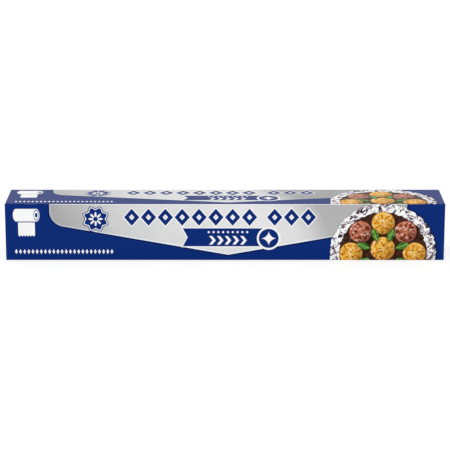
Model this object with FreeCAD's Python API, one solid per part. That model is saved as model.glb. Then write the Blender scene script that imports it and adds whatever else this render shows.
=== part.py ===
# A sealed retail carton of kitchen aluminium foil, lying on its base as it is stored.
#
# Frame: X runs along the roll, Y from the front (-Y) to the back (+Y), Z up.
# The origin is at the middle of the base. All sizes are in millimetres.
#
# One die-cut blank is wrapped around the roll: front wall, bottom, back, and a lid whose front
# flap laps over the front wall and is glued to it. Each end is closed in three layers. Dust
# flaps fold in from the front wall and the back, the bottom's end flap folds up and is glued
# over them, and the lid's end flap folds down over that. The pack is glued shut and can't be
# seen into, so it is one solid, with every fold, lapped edge and die-cut line of the outside
# in its real place.

import FreeCAD
import Part
import math
import os

from FreeCAD import Vector

# The pack's outside
carton_length = 311.0  # along the roll
carton_depth = 42.0  # front to back, over the lid's front flap
carton_height = 41.5

# The paperboard
board = 0.5  # thickness
crease_radius = 0.7  # outside radius of every fold

# The lid's front flap
flap_lift = 0.3  # from the base to the flap's lower edge

# The bottom's end flaps
side_gap = 1.2  # from each side of the flap, at its fold, to the front wall and to the back
side_taper = 0.8  # how far each side of the flap leans in between its fold and the lid
lid_gap = 0.4  # between the flap's top edge and the underside of the lid
flap_corner = 3.0  # radius of the flap's two free corners

# The lid's end flaps
lid_flap_height = 12.5  # from the top of the lid to the flap's free edge
lid_flap_gap = 0.2  # between the flap and the back of the lid's front flap
lid_flap_set_in = 0.8  # from the flap, at its fold, to the outside of the back
lid_flap_slant = 3.5  # how far the flap's rear edge leans in on its way down
lid_flap_corner = 2.0  # radius of the flap's two free corners

# The press-in tab in the middle of each end, which is pushed in to hold the roll's core
tab_width = 16.0  # across the tab, which is also twice the radius of its round top
tab_straight = 3.5  # height of the tab's straight sides, between its fold and its round top
tab_clearance = 2.0  # between the tab's round top and the free edge of the lid's end flap
tab_slits = 5  # slits that the line round its top is cut into
slit_width = 0.4  # of the die-cut line
nick = 1.2  # uncut board between one slit and the next
score_width = 0.8  # of the pressed line that the tab folds on
score_depth = 0.15

# Places worked out from the sizes above
lid_end = carton_length / 2  # outside of the lid's end flaps
body_end = lid_end - board  # outside of the bottom's end flaps
dust_end = body_end - board  # outside of the dust flaps
front = -carton_depth / 2  # outside of the lid's front flap
front_wall = front + board  # outside of the front wall
back = carton_depth / 2
lid_under = carton_height - board
lid_flap_edge = carton_height - lid_flap_height
tab_radius = tab_width / 2
tab_middle = (front_wall + back) / 2
tab_centre = lid_flap_edge - tab_clearance - tab_radius  # height of its round top's centre
tab_fold = tab_centre - tab_straight


def outline(corners):
    """A closed wire through corners, each a point and the radius that it is rounded to."""
    starts, ends, edges = [], [], []
    for i, (point, radius) in enumerate(corners):
        before = (corners[i - 1][0] - point).normalize()
        after = (corners[(i + 1) % len(corners)][0] - point).normalize()
        half = before.getAngle(after) / 2
        reach = radius / math.tan(half)
        starts.append(point + before * reach)
        ends.append(point + after * reach)
        if radius:
            to_arc = radius / math.sin(half) - radius
            middle = point + (before + after).normalize() * to_arc
            edges.append(Part.Arc(starts[i], middle, ends[i]).toShape())
    edges += [Part.LineSegment(ends[i - 1], starts[i]).toShape() for i in range(len(corners))]
    return Part.Wire(Part.__sortEdges__(edges))


def plate(wire, direction):
    """The solid that the inside of a closed wire sweeps along direction."""
    return Part.Face(wire).extrude(direction)


def block(low, high):
    """A box between its lowest and highest corners."""
    size = high - low
    return Part.makeBox(size.x, size.y, size.z, low)


def wrap():
    """The folded blank with the roll inside, over the pack's whole length."""
    corners = [
        (Vector(-lid_end, front, 0), 0),
        (Vector(-lid_end, back, 0), crease_radius),
        (Vector(-lid_end, back, carton_height), crease_radius),
        (Vector(-lid_end, front, carton_height), crease_radius),
    ]
    return plate(outline(corners), Vector(carton_length, 0, 0))


def bottom_end_flap():
    """The bottom's flap of the +X end, glued over the dust flaps."""
    flap_front, flap_back = front_wall + side_gap, back - side_gap
    flap_top = lid_under - lid_gap
    corners = [
        (Vector(dust_end, flap_front, 0), 0),
        (Vector(dust_end, flap_back, 0), 0),
        (Vector(dust_end, flap_back - side_taper, flap_top), flap_corner),
        (Vector(dust_end, flap_front + side_taper, flap_top), flap_corner),
    ]
    return plate(outline(corners), Vector(board, 0, 0))


def lid_end_flap():
    """The lid's flap of the +X end, folded down over the bottom's flap."""
    flap_front, flap_back = front_wall + lid_flap_gap, back - lid_flap_set_in
    corners = [
        (Vector(body_end, flap_front, lid_under), 0),
        (Vector(body_end, flap_back, lid_under), 0),
        (Vector(body_end, flap_back - lid_flap_slant, lid_flap_edge), lid_flap_corner),
        (Vector(body_end, flap_front, lid_flap_edge), lid_flap_corner),
    ]
    return plate(outline(corners), Vector(board, 0, 0))


def end_rebate():
    """What is missing around the two outer flaps of the +X end, down to the dust flaps."""
    slab = block(Vector(dust_end, front_wall, 0), Vector(lid_end, back, lid_under))
    return slab.cut([bottom_end_flap(), lid_end_flap()])


def fold_cutter(corner, one_way, other_way, run):
    """What a fold's rounding takes off a square edge. The edge starts at corner and goes
    along run, and the two panels that meet at it go along the other two directions."""
    tangents = corner + one_way * crease_radius, corner + other_way * crease_radius
    both = one_way + other_way
    middle = corner + both * crease_radius - both.normalize() * crease_radius
    edges = [
        Part.Arc(tangents[0], middle, tangents[1]).toShape(),
        Part.LineSegment(tangents[1], corner).toShape(),
        Part.LineSegment(corner, tangents[0]).toShape(),
    ]
    return plate(Part.Wire(edges), run)


def end_folds():
    """The roundings of the four folds that close the +X end."""
    inward, up, rear = Vector(-1, 0, 0), Vector(0, 0, 1), Vector(0, 1, 0)
    across = rear * (back - front_wall)
    height = up * lid_under
    return [
        fold_cutter(Vector(body_end, front_wall, 0), inward, up, across),
        fold_cutter(Vector(lid_end, front_wall, carton_height), inward, up * -1, across),
        fold_cutter(Vector(dust_end, front_wall, 0), inward, rear, height),
        fold_cutter(Vector(dust_end, back, 0), inward, rear * -1, height),
    ]


def below_front_flap():
    """What is missing below the lid's front flap: the strip under its edge, and the rounding of
    the front wall's bottom fold behind it."""
    low, along = Vector(-lid_end, front, 0), Vector(carton_length, 0, 0)
    strip = block(low, Vector(lid_end, front_wall, flap_lift))
    fold = fold_cutter(low + Vector(0, board, 0), Vector(0, 1, 0), Vector(0, 0, 1), along)
    return [strip, fold]


def around_tab(radius, angle):
    """A point on the +X end at this radius and angle, in degrees, from the tab's round top."""
    turn = math.radians(angle)
    across = tab_middle + radius * math.cos(turn)
    return Vector(dust_end, across, tab_centre + radius * math.sin(turn))


def round_slit(start, stop):
    """A slit of the tab's round top between two angles, in degrees."""
    middle = (start + stop) / 2
    outer, inner = tab_radius + slit_width / 2, tab_radius - slit_width / 2
    edges = [
        Part.Arc(*(around_tab(outer, a) for a in (start, middle, stop))).toShape(),
        Part.LineSegment(around_tab(outer, stop), around_tab(inner, stop)).toShape(),
        Part.Arc(*(around_tab(inner, a) for a in (stop, middle, start))).toShape(),
        Part.LineSegment(around_tab(inner, start), around_tab(outer, start)).toShape(),
    ]
    return plate(Part.Wire(edges), Vector(board, 0, 0))


def side_slit(side):
    """The straight slit on one side of the tab, which is -1 for the front and 1 for the back."""
    y = tab_middle + side * tab_radius
    low = Vector(dust_end, y - slit_width / 2, tab_fold)
    return block(low, Vector(body_end, y + slit_width / 2, tab_centre - nick))


def tab_score():
    """The pressed line that the +X end's tab folds on."""
    half_width = Vector(0, tab_radius, score_width / 2)
    middle = Vector(body_end, tab_middle, tab_fold)
    return block(middle - half_width - Vector(score_depth, 0, 0), middle + half_width)


def tab_lines():
    """Everything that is cut or pressed into the +X end to make its tab."""
    nick_angle = math.degrees(nick / tab_radius)
    slit_angle = (180 - nick_angle * (tab_slits - 1)) / tab_slits
    starts = [i * (slit_angle + nick_angle) for i in range(tab_slits)]
    slits = [round_slit(start, start + slit_angle) for start in starts]
    return [*slits, side_slit(-1), side_slit(1), tab_score()]


def carton():
    """The whole sealed pack."""
    cutters = [end_rebate(), *end_folds(), *tab_lines()]
    origin, along = Vector(0, 0, 0), Vector(1, 0, 0)
    far_cutters = [cutter.mirror(origin, along) for cutter in cutters]
    return wrap().cut([*below_front_flap(), *cutters, *far_cutters]).removeSplitter()


def main():
    os.makedirs("parts", exist_ok=True)
    pack = carton()
    solids = pack.Solids
    print(f"{len(solids)} solid, valid {pack.isValid()}, {pack.Volume / 1000:.1f} cubic centimetres")
    solids[0].exportStep("parts/foil_carton.step")


main()
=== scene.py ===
import math

import bpy
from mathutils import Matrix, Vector


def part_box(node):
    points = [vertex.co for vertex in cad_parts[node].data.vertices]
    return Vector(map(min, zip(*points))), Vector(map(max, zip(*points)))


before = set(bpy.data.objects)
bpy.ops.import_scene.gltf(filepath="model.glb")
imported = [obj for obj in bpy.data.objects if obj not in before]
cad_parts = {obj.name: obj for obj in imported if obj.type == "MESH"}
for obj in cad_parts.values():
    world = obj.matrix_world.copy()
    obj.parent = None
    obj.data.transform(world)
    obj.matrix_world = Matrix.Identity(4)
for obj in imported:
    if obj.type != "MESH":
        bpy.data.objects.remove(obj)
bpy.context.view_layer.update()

# A sealed carton of kitchen foil. The carton is the CAD solid, and this script gives it its
# printed paperboard, its floor, its light and its camera. The same print is on the front and on
# the lid, apart from the silver's gradient. It is laid out on a panel in millimetres: u runs
# along the carton from its middle and h runs up from the panel's lower edge, which on the lid is
# the front one.

# The carton, in millimetres
metre = 1000
carton_low, carton_high = (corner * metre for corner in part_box("foil_carton"))
board = 0.5  # thickness of the paperboard
crease = 0.7  # outside radius of every fold
slack = 0.02  # how near a plane still counts as on it
squarely = 0.6  # the least part of a face's normal that points the way the face is said to look

# Inks and board, as linear colours
blue = (0.0012, 0.0238, 0.183)
deep_blue = (0.0002, 0.004, 0.050)
white = (0.97, 0.97, 0.97)
black = (0.0, 0.0, 0.0)
raw_board = (0.36, 0.33, 0.28)
scuff = (0.30, 0.33, 0.42)
ink_edge = 0.12  # how far an ink's edge spreads
ink_mottle = 0.20  # how much the inks darken where the board takes them best

# The silver field
field_left = -124.1
field_right = 128.5
field_foot = 4.2  # height of the lowest point of its V
field_middle = 2.3  # where along the carton that point is
field_slope = 0.177  # how far the lower edge rises for each millimetre away from it
field_corner = 9.0  # radius of its lower left corner
keyline = 0.9  # pale line inside its edge
keyline_tint = (1.20, 1.32, 1.50)  # of the pale line, as a share of the silver beside it
shade_line = 1.0  # how far outside its edge a darker blue line ends
shade_gap = 0.3  # blue left between that line and the edge
silver_metallic = 0.35  # how metallic its ink is
gradient_lean = 0.5  # how far the silver's gradient leans to the left for each millimetre up
gradient_top = 40.0  # height at which the stops below are in their places
front_silver = [
    (-125, 0.41), (-106, 0.50), (-88, 0.64), (-55, 0.74), (20, 0.81), (42, 0.76), (66, 0.465), (95, 0.455),
]
lid_silver = [
    (-125, 0.48), (-112, 0.55), (-82, 0.69), (-55, 0.745), (5, 0.775), (18, 0.76), (39, 0.41), (46, 0.37),
]

# The rosette
rosette_middle = (-91.5, 30.4)
rosette_radius = 8.2
rosette_petals = 8
petal_depth = 0.9
inner_petals = 0.62  # radius of the white petals, as a share of the rosette's
rosette_eye = 1.64  # radius of the blue disc in their middle
halo = 0.7  # white line round the rosette, the lozenges and the ribbon

# The rows of lozenges
lozenge_row = 31.7  # height of their middle
lozenge_height = 12.6
lozenge_width = 10.9
lozenge_pitch = 11.9
lozenge_stroke = 2.7  # width of their outlines
lozenge_groups = [(-71.9, 8), (29.2, 3)]  # where each group starts, and how many it has

# The ribbon and its badge
ribbon_left = -29.9
ribbon_middle = 17.0  # height of its middle line
ribbon_height = 13.2
ribbon_notch = 3.4  # depth of the notch in its left end
dots_left = -13.2
dot_row = 20.8
dot_pitch = 3.4
dot_count = 9
dot_radius = 0.75
chevrons_left = -10.4
chevron_row = 14.8
chevron_height = 6.2
chevron_pitch = 5.5
chevron_count = 5
chevron_stroke = 2.2
chevron_slant = 0.8  # how far a chevron leans back for each millimetre away from its point
badge_middle = (31.0, 16.2)
badge_radius = 8.4
badge_ring = 1.4
sparkle_radius = 5.4
sparkle_power = 0.6  # the smaller, the thinner the sparkle's points
sparkle_edge = 0.4  # turns its measure into rough millimetres

# The roll sign and the row of small lozenges at the left end
roll_left, roll_right = -147.6, -133.4  # middles of its two round ends
roll_height = 33.2  # height of its middle
roll_radius = 4.6
roll_flatness = 0.5  # width of a round end, seen from the side, as a share of its height
core_radius = 1.8
sheet_left, sheet_right = -146.4, -134.6
sheet_foot = 17.6
tooth_pitch = 1.97
small_left = -149.6
small_row = 6.5
small_height = 3.6
small_width = 1.95
small_pitch = 2.95
small_count = 24

# The picture of a foil nest with slices and leaves. Scales are in cells for each millimetre
nest_middle = (112.0, 5.0)
nest_size = (37.5, 36.5)  # half its width, and its height above its middle
nest_waves = 4.0  # how far the waves of its edge reach, from their troughs to their tops
nest_wave_scale = 0.22
nest_rim = 6.2  # width of the foil that shows round the slices
nest_shadow_shift = 0.9  # how far to the right its shadow falls
ring_radius = 22.5  # from the nest's middle to the slices that are set round it
ring_pitch = 45.0  # degrees from one slice to the next
slice_radius = 8.3
middle_slice = (0.0, 3.6)  # from the nest's middle
middle_radius = 8.8
shadow_shift = 0.6  # how far right and down a shadow falls
shadow_blur = 2.4
shadow_depth = 0.85
slice_skin = 0.6  # thickness
slice_ring = 1.5  # from a slice's edge to its segments
slice_eye = 0.9  # radius of the disc in its middle
slice_dimming = 0.6  # how much its shade covers on the side away from the light
spot_scale = 0.5
spot_sharpness = 10  # turns the noise near a spot's edge into rough millimetres
mottle_scale = 0.4
gloss_level = 0.56  # mottle above this shines
gloss_sharpness = 12
leaf_ring = 14.8  # radius of the ring that the leaves' middles lie on
leaf_length = 10.0
leaf_width = 4.6
leaf_rib = 0.5
foil_drift = 5  # how far the foil's pattern is pushed aside
foil_drift_scale = 0.25
foil_fold_scale = 0.26
foil_fold_contrast = 3.0
foil_facet_scale = 0.42
foil_facet_contrast = 0.62
foil_tones = [
    (0.02, (0.020, 0.010, 0.014)), (0.25, (0.05, 0.03, 0.04)), (0.32, (0.26, 0.20, 0.24)),
    (0.39, (0.56, 0.52, 0.57)), (0.46, (0.92, 0.91, 0.95)), (0.54, (1.0, 1.0, 1.0)),
]
glint = (1.0, 0.93, 0.80)
ground_tones = [(0.35, (0.012, 0.005, 0.004)), (0.65, (0.085, 0.028, 0.015))]
leaf_tones = [(0.35, (0.015, 0.095, 0.015)), (0.65, (0.12, 0.34, 0.035))]
leaf_pale = (0.30, 0.52, 0.14)
golden = {
    "skin": (0.60, 0.22, 0.010),
    "ring": (0.96, 0.62, 0.13),
    "flesh": [(0.36, (0.62, 0.20, 0.008)), (0.60, (1.0, 0.52, 0.035))],
    "spot": (0.30, 0.045, 0.006),
    "spots": 0.61,  # the larger, the fewer the spots
    "shade": (0.20, 0.05, 0.004),
    "gloss": 0.7,
    "segments": 9,
    "wall": 0.8,  # thickness between two segments
}
russet = {
    "skin": (0.16, 0.025, 0.012),
    "ring": (0.60, 0.20, 0.11),
    "flesh": [(0.36, (0.10, 0.014, 0.008)), (0.62, (0.55, 0.13, 0.055))],
    "spot": (0.95, 0.66, 0.55),
    "spots": 0.62,
    "shade": (0.03, 0.004, 0.003),
    "gloss": 0.35,
    "segments": 5,
    "wall": 1.3,
}

# The board's surface. Scales are in cells for each metre, and depths in metres
fibre_scale = 1300
patch_scale = 90
wave_scale = 14
fibre_depth = 0.000012
wave_depth = 0.0004
varnish_roughness = 0.30
fibre_roughness = 0.12  # what the fibres add to the varnish's
varnish_specular = 0.053
fold_sharpness = 16  # how soon a fold's wear and painted highlight start on its rounding
fold_whitening_and_highlight = 0.9  # how much the silver whitens on a fold, partly as cracked ink and partly as a painted highlight
patch_sharpness = 8
scuffing = 0.10  # how much the scuffs on the folds cover

# The floor, the sky and the lamp, in metres and, for the lamp's power, watts
floor_size = 16
floor_drop = 0.0001  # below the carton's base
floor_grey = 0.85
floor_seen_grey = 0.34
floor_seen_glow = 0.71
sky_strength = 0.92  # of the light that it gives, while it is seen as plain white
lamp_place = (-1.2, -2.4, 2.0)
lamp_size = 3.0
lamp_power = 22

# The camera, in degrees, metres and, for its lens and film, millimetres
camera_pitch = 15.0
camera_distance = 1.3655  # along its axis, to the carton's near top edge
camera_aim = 0.01495  # how far below that edge its axis passes
camera_lens = 154.85
camera_film = 36


class Field:
    """A number that varies over the surface, read from a socket of the material's nodes."""

    def __init__(self, tree, socket):
        self.tree, self.socket = tree, socket

    def apply(self, operation, *others):
        node = self.tree.nodes.new("ShaderNodeMath")
        node.operation = operation
        for slot, value in zip(node.inputs, (self, *others)):
            plug(self.tree, value, slot)
        return Field(self.tree, node.outputs[0])

    def __add__(self, other):
        return self.apply("ADD", other)

    def __sub__(self, other):
        return self.apply("SUBTRACT", other)

    def __mul__(self, other):
        return self.apply("MULTIPLY", other)

    def __truediv__(self, other):
        return self.apply("DIVIDE", other)

    def __gt__(self, other):
        return self.apply("GREATER_THAN", other)

    def __lt__(self, other):
        return self.apply("LESS_THAN", other)

    def __neg__(self):
        return self * -1

    def __rsub__(self, other):
        return -self + other

    def __abs__(self):
        return self.apply("ABSOLUTE")

    __radd__ = __add__
    __rmul__ = __mul__


def plug(tree, value, slot):
    """Gives a node's input a field, a socket, or a plain number or colour."""
    if isinstance(value, Field):
        tree.links.new(value.socket, slot)
    elif isinstance(value, bpy.types.NodeSocket):
        tree.links.new(value, slot)
    elif isinstance(value, tuple):
        slot.default_value = (*value, 1)[:len(slot.default_value)]
    else:
        slot.default_value = value


def least(first, *others):
    for other in others:
        first = first.apply("MINIMUM", other)
    return first


def most(first, *others):
    for other in others:
        first = first.apply("MAXIMUM", other)
    return first


def soft(field):
    """A field held between 0 and 1."""
    return most(least(field, 1), 0)


def span(x, y):
    """How far (x, y) is from zero."""
    return (x * x + y * y).apply("SQRT")


def turned(x, y):
    """The angle of (x, y), in radians."""
    return y.apply("ARCTAN2", x)


def repeat(x, pitch):
    """x counted from the middle of its own cell, in an endless row with one that starts at zero."""
    return x.apply("WRAP", pitch, 0) - pitch / 2


def repeat_in_row(x, pitch, count):
    """x counted from the middle of the nearest cell, in a row of this many that starts at zero."""
    cell = most(least((x / pitch).apply("FLOOR"), count - 1), 0)
    return x - (cell + 0.5) * pitch


# Shapes are given as distances in millimetres, negative inside

def disc(u, h, middle, radius):
    return span(u - middle[0], h - middle[1]) - radius


def band(x, low, high):
    return most(low - x, x - high)


def stroke(shape, width):
    """A line of this width, just inside the edge of a shape."""
    return abs(shape + width / 2) - width / 2


def rounded_corner(one, other, radius):
    """What is inside both shapes, with the corner where their edges meet rounded."""
    inside = least(most(one + radius, other + radius), 0)
    return inside + span(most(one + radius, 0), most(other + radius, 0)) - radius


def coverage(shape):
    """How much of the surface a shape covers, from 0 to 1."""
    share = 0.5 - shape / ink_edge
    share.socket.node.use_clamp = True
    return share


def blend(tree, share, first, second):
    """The first colour where the share is 0, and the second where it is 1."""
    node = tree.nodes.new("ShaderNodeMix")
    node.data_type = "RGBA"
    first_slot, second_slot = (slot for slot in node.inputs[1:] if slot.type == "RGBA")
    plug(tree, share, node.inputs[0])
    plug(tree, first, first_slot)
    plug(tree, second, second_slot)
    return next(slot for slot in node.outputs if slot.type == "RGBA")


class Print:
    """A surface colour that inks are laid on, one over the other. Bare is how much of the silver
    ink no other ink covers, from 0 to 1."""

    def __init__(self, tree, ground):
        self.tree, self.colour, self.bare = tree, ground, 0

    def mix(self, share, ink):
        self.colour = blend(self.tree, share, self.colour, ink)

    def lay(self, shape, ink):
        share = coverage(shape)
        self.mix(share, ink)
        if self.bare:
            self.bare = self.bare - self.bare * share

    def lay_silver(self, shape, ink):
        self.lay(shape, ink)
        self.bare = coverage(shape)


def ramp(field, stops):
    """A colour for each value of a field, from a list of values and their greys or colours."""
    tree = field.tree
    first, last = stops[0][0], stops[-1][0]
    node = tree.nodes.new("ShaderNodeValToRGB")
    plug(tree, (field - first) / (last - first), node.inputs[0])
    elements = node.color_ramp.elements
    while len(elements) < len(stops):
        elements.new(1)
    for element, (value, tone) in zip(elements, stops):
        element.position = (value - first) / (last - first)
        element.color = (*tone, 1) if isinstance(tone, tuple) else (tone, tone, tone, 1)
    return node.outputs[0]


def point(u, h):
    """The place (u, h) as a vector, for a texture."""
    node = u.tree.nodes.new("ShaderNodeCombineXYZ")
    plug(u.tree, u, node.inputs[0])
    plug(u.tree, h, node.inputs[1])
    return node.outputs[0]


def noise(tree, place, scale, detail=2.0, roughness=0.5):
    """Soft noise between 0 and 1."""
    node = tree.nodes.new("ShaderNodeTexNoise")
    plug(tree, place, node.inputs["Vector"])
    node.inputs["Scale"].default_value = scale
    node.inputs["Detail"].default_value = detail
    node.inputs["Roughness"].default_value = roughness
    return Field(tree, node.outputs[0])


def facets(tree, place, scale):
    """A flat random level for each of many cells, between 0 and 1."""
    node = tree.nodes.new("ShaderNodeTexVoronoi")
    plug(tree, place, node.inputs["Vector"])
    node.inputs["Scale"].default_value = scale
    return Field(tree, node.outputs["Color"])


def bump(tree, height, depth, under=None):
    """A surface normal that follows this height, for a relief of this depth in metres."""
    node = tree.nodes.new("ShaderNodeBump")
    node.inputs["Distance"].default_value = depth
    plug(tree, height, node.inputs["Height"])
    if under:
        plug(tree, under, node.inputs["Normal"])
    return node.outputs["Normal"]


def silver_edge(u, h):
    """The field's edge: straight sides, and a wide V below with one rounded end."""
    lower_edge = field_foot + field_slope * abs(u - field_middle)
    below = (lower_edge - h) * math.cos(math.atan(field_slope))
    cornered = rounded_corner(field_left - u, below, field_corner)
    return most(cornered, u - field_right)


def silver_ink(along, on_lid, tint=(1, 1, 1)):
    """The silver's gradient, or a tint of it. The lid's has other stops than the front's."""
    inks = []
    for stops in (front_silver, lid_silver):
        tinted = [(place, tuple(min(grey * part, 1) for part in tint)) for place, grey in stops]
        inks.append(ramp(along, tinted))
    return blend(along.tree, on_lid, *inks)


def print_silver(sheet, u, h, on_lid):
    """The silver field, with a pale line inside its edge and a dark blue one outside."""
    edge = silver_edge(u, h)
    along = u + gradient_lean * (h - gradient_top)
    sheet.lay(edge - shade_line, deep_blue)
    sheet.lay(edge - shade_gap, blue)
    sheet.lay(edge, silver_ink(along, on_lid, keyline_tint))
    sheet.lay_silver(edge + keyline, silver_ink(along, on_lid))


def print_rosette(sheet, u, h):
    x, y = u - rosette_middle[0], h - rosette_middle[1]
    away, angle = span(x, y), turned(x, y)
    flower = away - rosette_radius + petal_depth * (angle * rosette_petals).apply("COSINE")
    sheet.lay(flower - halo, blue)
    sheet.lay(flower, white)
    sheet.lay(flower + halo, blue)
    petals = abs((angle * (rosette_petals / 2)).apply("COSINE"))
    sheet.lay(away - rosette_radius * inner_petals * petals, white)
    sheet.lay(away - rosette_eye, blue)


def lozenge(x, y, width, height):
    """A lozenge about zero."""
    steepness = math.hypot(2 / width, 2 / height)
    return (abs(x) * (2 / width) + abs(y) * (2 / height) - 1) / steepness


def print_lozenges(sheet, u, h):
    for start, count in lozenge_groups:
        across = repeat_in_row(u - start, lozenge_pitch, count)
        line = stroke(lozenge(across, h - lozenge_row, lozenge_width, lozenge_height), lozenge_stroke)
        sheet.lay(line - halo, white)
        sheet.lay(line, blue)


def print_ribbon(sheet, u, h):
    off_middle = abs(h - ribbon_middle)
    half = ribbon_height / 2
    notch = ribbon_left + ribbon_notch - off_middle * (ribbon_notch / half)
    ribbon = most(off_middle - half, notch - u, u - badge_middle[0])
    sheet.lay(ribbon - halo, white)
    sheet.lay(ribbon, blue)


def print_ribbon_marks(sheet, u, h):
    """A row of dots over a row of chevrons."""
    along_dots = repeat_in_row(u - dots_left, dot_pitch, dot_count)
    sheet.lay(span(along_dots, h - dot_row) - dot_radius, white)
    off_row = abs(h - chevron_row)
    slanted = u + off_row * chevron_slant - chevrons_left
    along_chevrons = abs(repeat_in_row(slanted, chevron_pitch, chevron_count))
    sheet.lay(most(along_chevrons - chevron_stroke / 2, off_row - chevron_height / 2), white)


def print_badge(sheet, u, h):
    badge = disc(u, h, badge_middle, badge_radius)
    sheet.lay(badge, white)
    sheet.lay(badge + badge_ring, blue)
    x, y = (abs(off).apply("POWER", sparkle_power) for off in (u - badge_middle[0], h - badge_middle[1]))
    sparkle = (x + y).apply("POWER", 1 / sparkle_power) - sparkle_radius
    sheet.lay(sparkle * sparkle_edge, white)


def print_roll_sign(sheet, u, h):
    """A roll seen a little from its end, and the sheet that hangs from it to a toothed edge."""
    off_axis = h - roll_height
    left_end = span((u - roll_left) / roll_flatness, off_axis)
    right_end = span((u - roll_right) / roll_flatness, off_axis)
    barrel = most(band(u, roll_left, roll_right), abs(off_axis) - roll_radius)
    roll = least(barrel, left_end - roll_radius, right_end - roll_radius)
    teeth = abs(repeat(u - sheet_left, tooth_pitch))
    sheet.lay(most(band(u, sheet_left, sheet_right), off_axis, sheet_foot + teeth - h), white)
    sheet.lay(roll - halo, blue)
    sheet.lay(roll, white)
    sheet.lay(stroke(right_end - roll_radius + halo, halo), blue)
    sheet.lay(right_end - core_radius, blue)


def print_small_lozenges(sheet, u, h):
    across = repeat_in_row(u - small_left, small_pitch, small_count)
    sheet.lay(lozenge(across, h - small_row, small_width, small_height), white)


def nest_edge(u, h):
    """The foil nest's outline, a wavy half oval."""
    x, y = u - nest_middle[0], h - nest_middle[1]
    from_middle = span(x / nest_size[0], y / nest_size[1])
    waves = noise(u.tree, point(u, h), nest_wave_scale) - 0.5
    return (from_middle - 1) * nest_size[1] + waves * nest_waves


def crinkled_foil(u, h):
    """Crumpled foil: bright facets, with sharp dark flecks where it folds."""
    tree = u.tree
    drift = noise(tree, point(u, h), foil_drift_scale) * foil_drift
    place = point(u + drift, h + drift)
    folds = abs(noise(tree, place, foil_fold_scale, detail=3.0, roughness=0.6) - 0.5)
    shine = folds * foil_fold_contrast + facets(tree, place, foil_facet_scale) * foil_facet_contrast
    return ramp(shine, foil_tones)


def ring_of(x, y, radius, first, pitch):
    """Places counted from the nearest of the things set in a ring about zero, and its turn in
    radians. The first and the pitch are in degrees."""
    pitch = math.radians(pitch)
    turn = turned(x, y)
    nearest = turn - repeat(turn - math.radians(first) + pitch / 2, pitch)
    return x - nearest.apply("COSINE") * radius, y - nearest.apply("SINE") * radius, nearest


def print_shadow(sheet, shape):
    """A soft shadow under a shape that is given where its shadow falls."""
    sheet.mix(soft(0.5 - shape / shadow_blur) * shadow_depth, black)


def print_slice(sheet, x, y, radius, kind, mottle, spots):
    """A round slice: its skin, a pale ring, segments set round its middle, and light on it from
    the upper left."""
    away = span(x, y)
    body = away - radius
    print_shadow(sheet, span(x - shadow_shift, y + shadow_shift) - radius)
    sheet.lay(body, kind["skin"])
    sheet.lay(body + slice_skin, kind["ring"])
    segment_angle = math.tau / kind["segments"]
    off_wall = (segment_angle / 2 - abs(repeat(turned(x, y), segment_angle))) * away
    segment = most(body + slice_ring, kind["wall"] / 2 - off_wall, slice_eye - away)
    sheet.lay(segment, ramp(mottle, kind["flesh"]))
    sheet.lay(most((kind["spots"] - spots) * spot_sharpness, body + slice_skin), kind["spot"])
    inside, lit = coverage(body), soft((y - x) / (2 * radius) + 0.5)
    dim = 1 - lit
    sheet.mix(inside * dim * dim * slice_dimming, kind["shade"])
    shine = soft((mottle - gloss_level) * gloss_sharpness)
    sheet.mix(inside * lit * shine * kind["gloss"], glint)


def print_leaf(sheet, x, y, angle, tone):
    """A pointed leaf with a pale rib, lying at this angle."""
    cosine, sine = angle.apply("COSINE"), angle.apply("SINE")
    along = x * cosine + y * sine
    across = abs(y * cosine - x * sine)
    half, wide = leaf_length / 2, leaf_width / 2
    bow = (half * half - wide * wide) / (2 * wide)
    leaf = span(along, across + bow) - (bow + wide)
    print_shadow(sheet, leaf - shadow_shift)
    sheet.lay(leaf, ramp(tone, leaf_tones))
    sheet.lay(most(across - leaf_rib / 2, leaf + leaf_rib), leaf_pale)


def print_picture(sheet, u, h):
    """A nest of crumpled foil, with slices set round in it and leaves between them."""
    nest, place = nest_edge(u, h), point(u, h)
    mottle = noise(u.tree, place, mottle_scale, detail=4.0)
    spots = noise(u.tree, place, spot_scale)
    print_shadow(sheet, nest_edge(u - nest_shadow_shift, h))
    sheet.lay(nest, crinkled_foil(u, h))
    sheet.lay(nest + nest_rim, ramp(mottle, ground_tones))
    x, y = u - nest_middle[0], h - nest_middle[1]
    for kind, first in ((golden, 0), (russet, ring_pitch)):
        off_x, off_y, _ = ring_of(x, y, ring_radius, first, 2 * ring_pitch)
        print_slice(sheet, off_x, off_y, slice_radius, kind, mottle, spots)
    print_slice(sheet, x - middle_slice[0], y - middle_slice[1], middle_radius, golden, mottle, spots)
    print_leaf(sheet, *ring_of(x, y, leaf_ring, ring_pitch / 2, ring_pitch), mottle)


def new_material(name):
    """A new material, its nodes, and its shader."""
    material = bpy.data.materials.new(name)
    material.use_nodes = True
    return material, material.node_tree, material.node_tree.nodes["Principled BSDF"]


def split(tree, socket):
    """The three parts of a vector."""
    node = tree.nodes.new("ShaderNodeSeparateXYZ")
    tree.links.new(socket, node.inputs[0])
    return [Field(tree, output) for output in node.outputs]


def cut_edges(place, normal):
    """Where the board's cut edges show: on faces that look down, up, sideways or endways from
    inside the carton's outline."""
    x, y, z = place
    normal_x, normal_y, normal_z = normal
    front_wall = carton_low.y + board
    between_sides = (y > front_wall + slack) * (y < carton_high.y - slack)
    past_dust_flaps = abs(x) > carton_high.x - 2 * board - slack
    return most(
        (normal_z < -squarely) * (z > crease),
        (normal_z > squarely) * (z < carton_high.z - crease),
        (abs(normal_y) > squarely) * between_sides * past_dust_flaps,
        (abs(normal_x) > squarely) * (y < front_wall - slack),
    )


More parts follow.
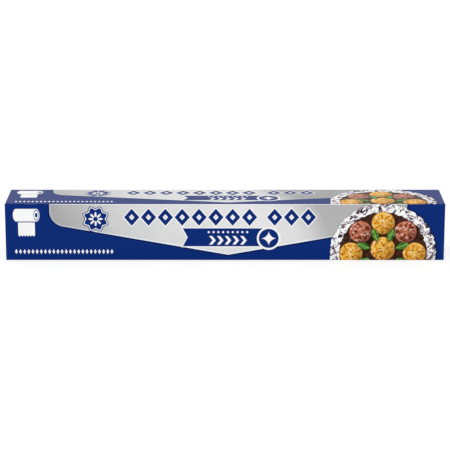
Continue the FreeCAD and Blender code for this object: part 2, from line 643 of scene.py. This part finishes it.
def carton_material():
    """Printed paperboard with a satin varnish, and raw board at its cut edges."""
    material, tree, shader = new_material("printed_paperboard")
    coordinates = tree.nodes.new("ShaderNodeTexCoord")
    metres = coordinates.outputs["Object"]
    place = [part * metre for part in split(tree, metres)]
    normal = split(tree, coordinates.outputs["Normal"])
    x, y, z = place
    normal_x, normal_y, normal_z = normal

    on_lid = normal_z > squarely
    on_panel = most(normal_z, -normal_y) > squarely
    u, h = x, z + on_lid * (y - carton_low.y - z)
    sheet = Print(tree, blue)
    print_silver(sheet, u, h, on_lid)
    print_rosette(sheet, u, h)
    print_lozenges(sheet, u, h)
    print_ribbon(sheet, u, h)
    print_ribbon_marks(sheet, u, h)
    print_badge(sheet, u, h)
    print_roll_sign(sheet, u, h)
    print_small_lozenges(sheet, u, h)
    print_picture(sheet, u, h)

    fibres = noise(tree, metres, fibre_scale, detail=3.0, roughness=0.6)
    patches = noise(tree, metres, patch_scale, detail=3.0, roughness=0.6)
    waves = noise(tree, metres, wave_scale, detail=1.0)
    off_square = 1 - most(abs(normal_x), abs(normal_y), abs(normal_z))
    folded = soft(off_square * fold_sharpness)
    metallic = sheet.bare * on_panel
    body = Print(tree, blue)
    body.mix(on_panel, sheet.colour)
    body.mix(fibres * patches * ink_mottle, black)
    # The silver is lightened on the folds, partly as cracked ink and partly as a painted highlight
    body.mix(folded * metallic * fold_whitening_and_highlight, white)
    body.mix(folded * soft((patches - 0.5) * patch_sharpness) * scuffing, scuff)
    body.mix(cut_edges(place, normal), raw_board)
    tree.links.new(body.colour, shader.inputs["Base Color"])
    plug(tree, metallic * silver_metallic, shader.inputs["Metallic"])
    plug(tree, varnish_roughness + fibres * fibre_roughness, shader.inputs["Roughness"])
    shader.inputs["Specular IOR Level"].default_value = varnish_specular
    relief = bump(tree, fibres, fibre_depth, bump(tree, waves, wave_depth))
    tree.links.new(relief, shader.inputs["Normal"])
    return material


def dress():
    carton = bpy.data.objects["foil_carton"]
    material = carton_material()
    for slot in carton.material_slots:
        slot.material = material


def seen_rays(tree):
    """1 for what the camera sees, straight or in a gloss or through glass, and 0 for the rest."""
    path = tree.nodes.new("ShaderNodeLightPath")
    kinds = ("Is Camera Ray", "Is Glossy Ray", "Is Transmission Ray")
    return most(*(Field(tree, path.outputs[kind]) for kind in kinds))


def floor():
    """A wide white floor. Where it is seen it glows and gives back less light, so that it is
    white and the carton's shadow on it is faint."""
    bpy.ops.mesh.primitive_plane_add(size=floor_size, location=(0, 0, -floor_drop))
    plane = bpy.context.object
    plane.name = "floor"
    material, tree, shader = new_material("floor_white")
    seen = seen_rays(tree)
    plug(tree, floor_grey - seen * (floor_grey - floor_seen_grey), shader.inputs["Base Color"])
    shader.inputs["Roughness"].default_value = 1.0
    shader.inputs["Specular IOR Level"].default_value = 0.0
    shader.inputs["Emission Color"].default_value = (1, 1, 1, 1)
    plug(tree, seen * floor_seen_glow, shader.inputs["Emission Strength"])
    plane.data.materials.append(material)


def sky():
    """A white studio all round, plain white where it is seen."""
    world = bpy.data.worlds.new("studio")
    bpy.context.scene.world = world
    world.use_nodes = True
    tree = world.node_tree
    background = tree.nodes["Background"]
    background.inputs["Color"].default_value = (1, 1, 1, 1)
    plug(tree, sky_strength + seen_rays(tree) * (1 - sky_strength), background.inputs["Strength"])


def lamp():
    """A wide soft lamp that faces the carton from the upper left."""
    light = bpy.data.lights.new("key", "AREA")
    light.shape = "DISK"
    light.size = lamp_size
    light.energy = lamp_power
    holder = bpy.data.objects.new("key", light)
    holder.location = lamp_place
    holder.rotation_euler = (-Vector(lamp_place)).to_track_quat("-Z", "Y").to_euler()
    bpy.context.collection.objects.link(holder)


def camera():
    data = bpy.data.cameras.new("camera")
    data.sensor_width = camera_film
    data.lens = camera_lens
    eye = bpy.data.objects.new("camera", data)
    pitch = math.radians(camera_pitch)
    forward = Vector((0, math.cos(pitch), -math.sin(pitch)))
    upward = Vector((0, math.sin(pitch), math.cos(pitch)))
    near_top_edge = Vector((0, carton_low.y, carton_high.z)) / metre
    eye.location = near_top_edge - forward * camera_distance - upward * camera_aim
    eye.rotation_euler = (math.radians(90) - pitch, 0, 0)
    bpy.context.collection.objects.link(eye)
    bpy.context.scene.camera = eye


bpy.context.scene.view_settings.view_transform = "Standard"
dress()
floor()
sky()
lamp()
camera()
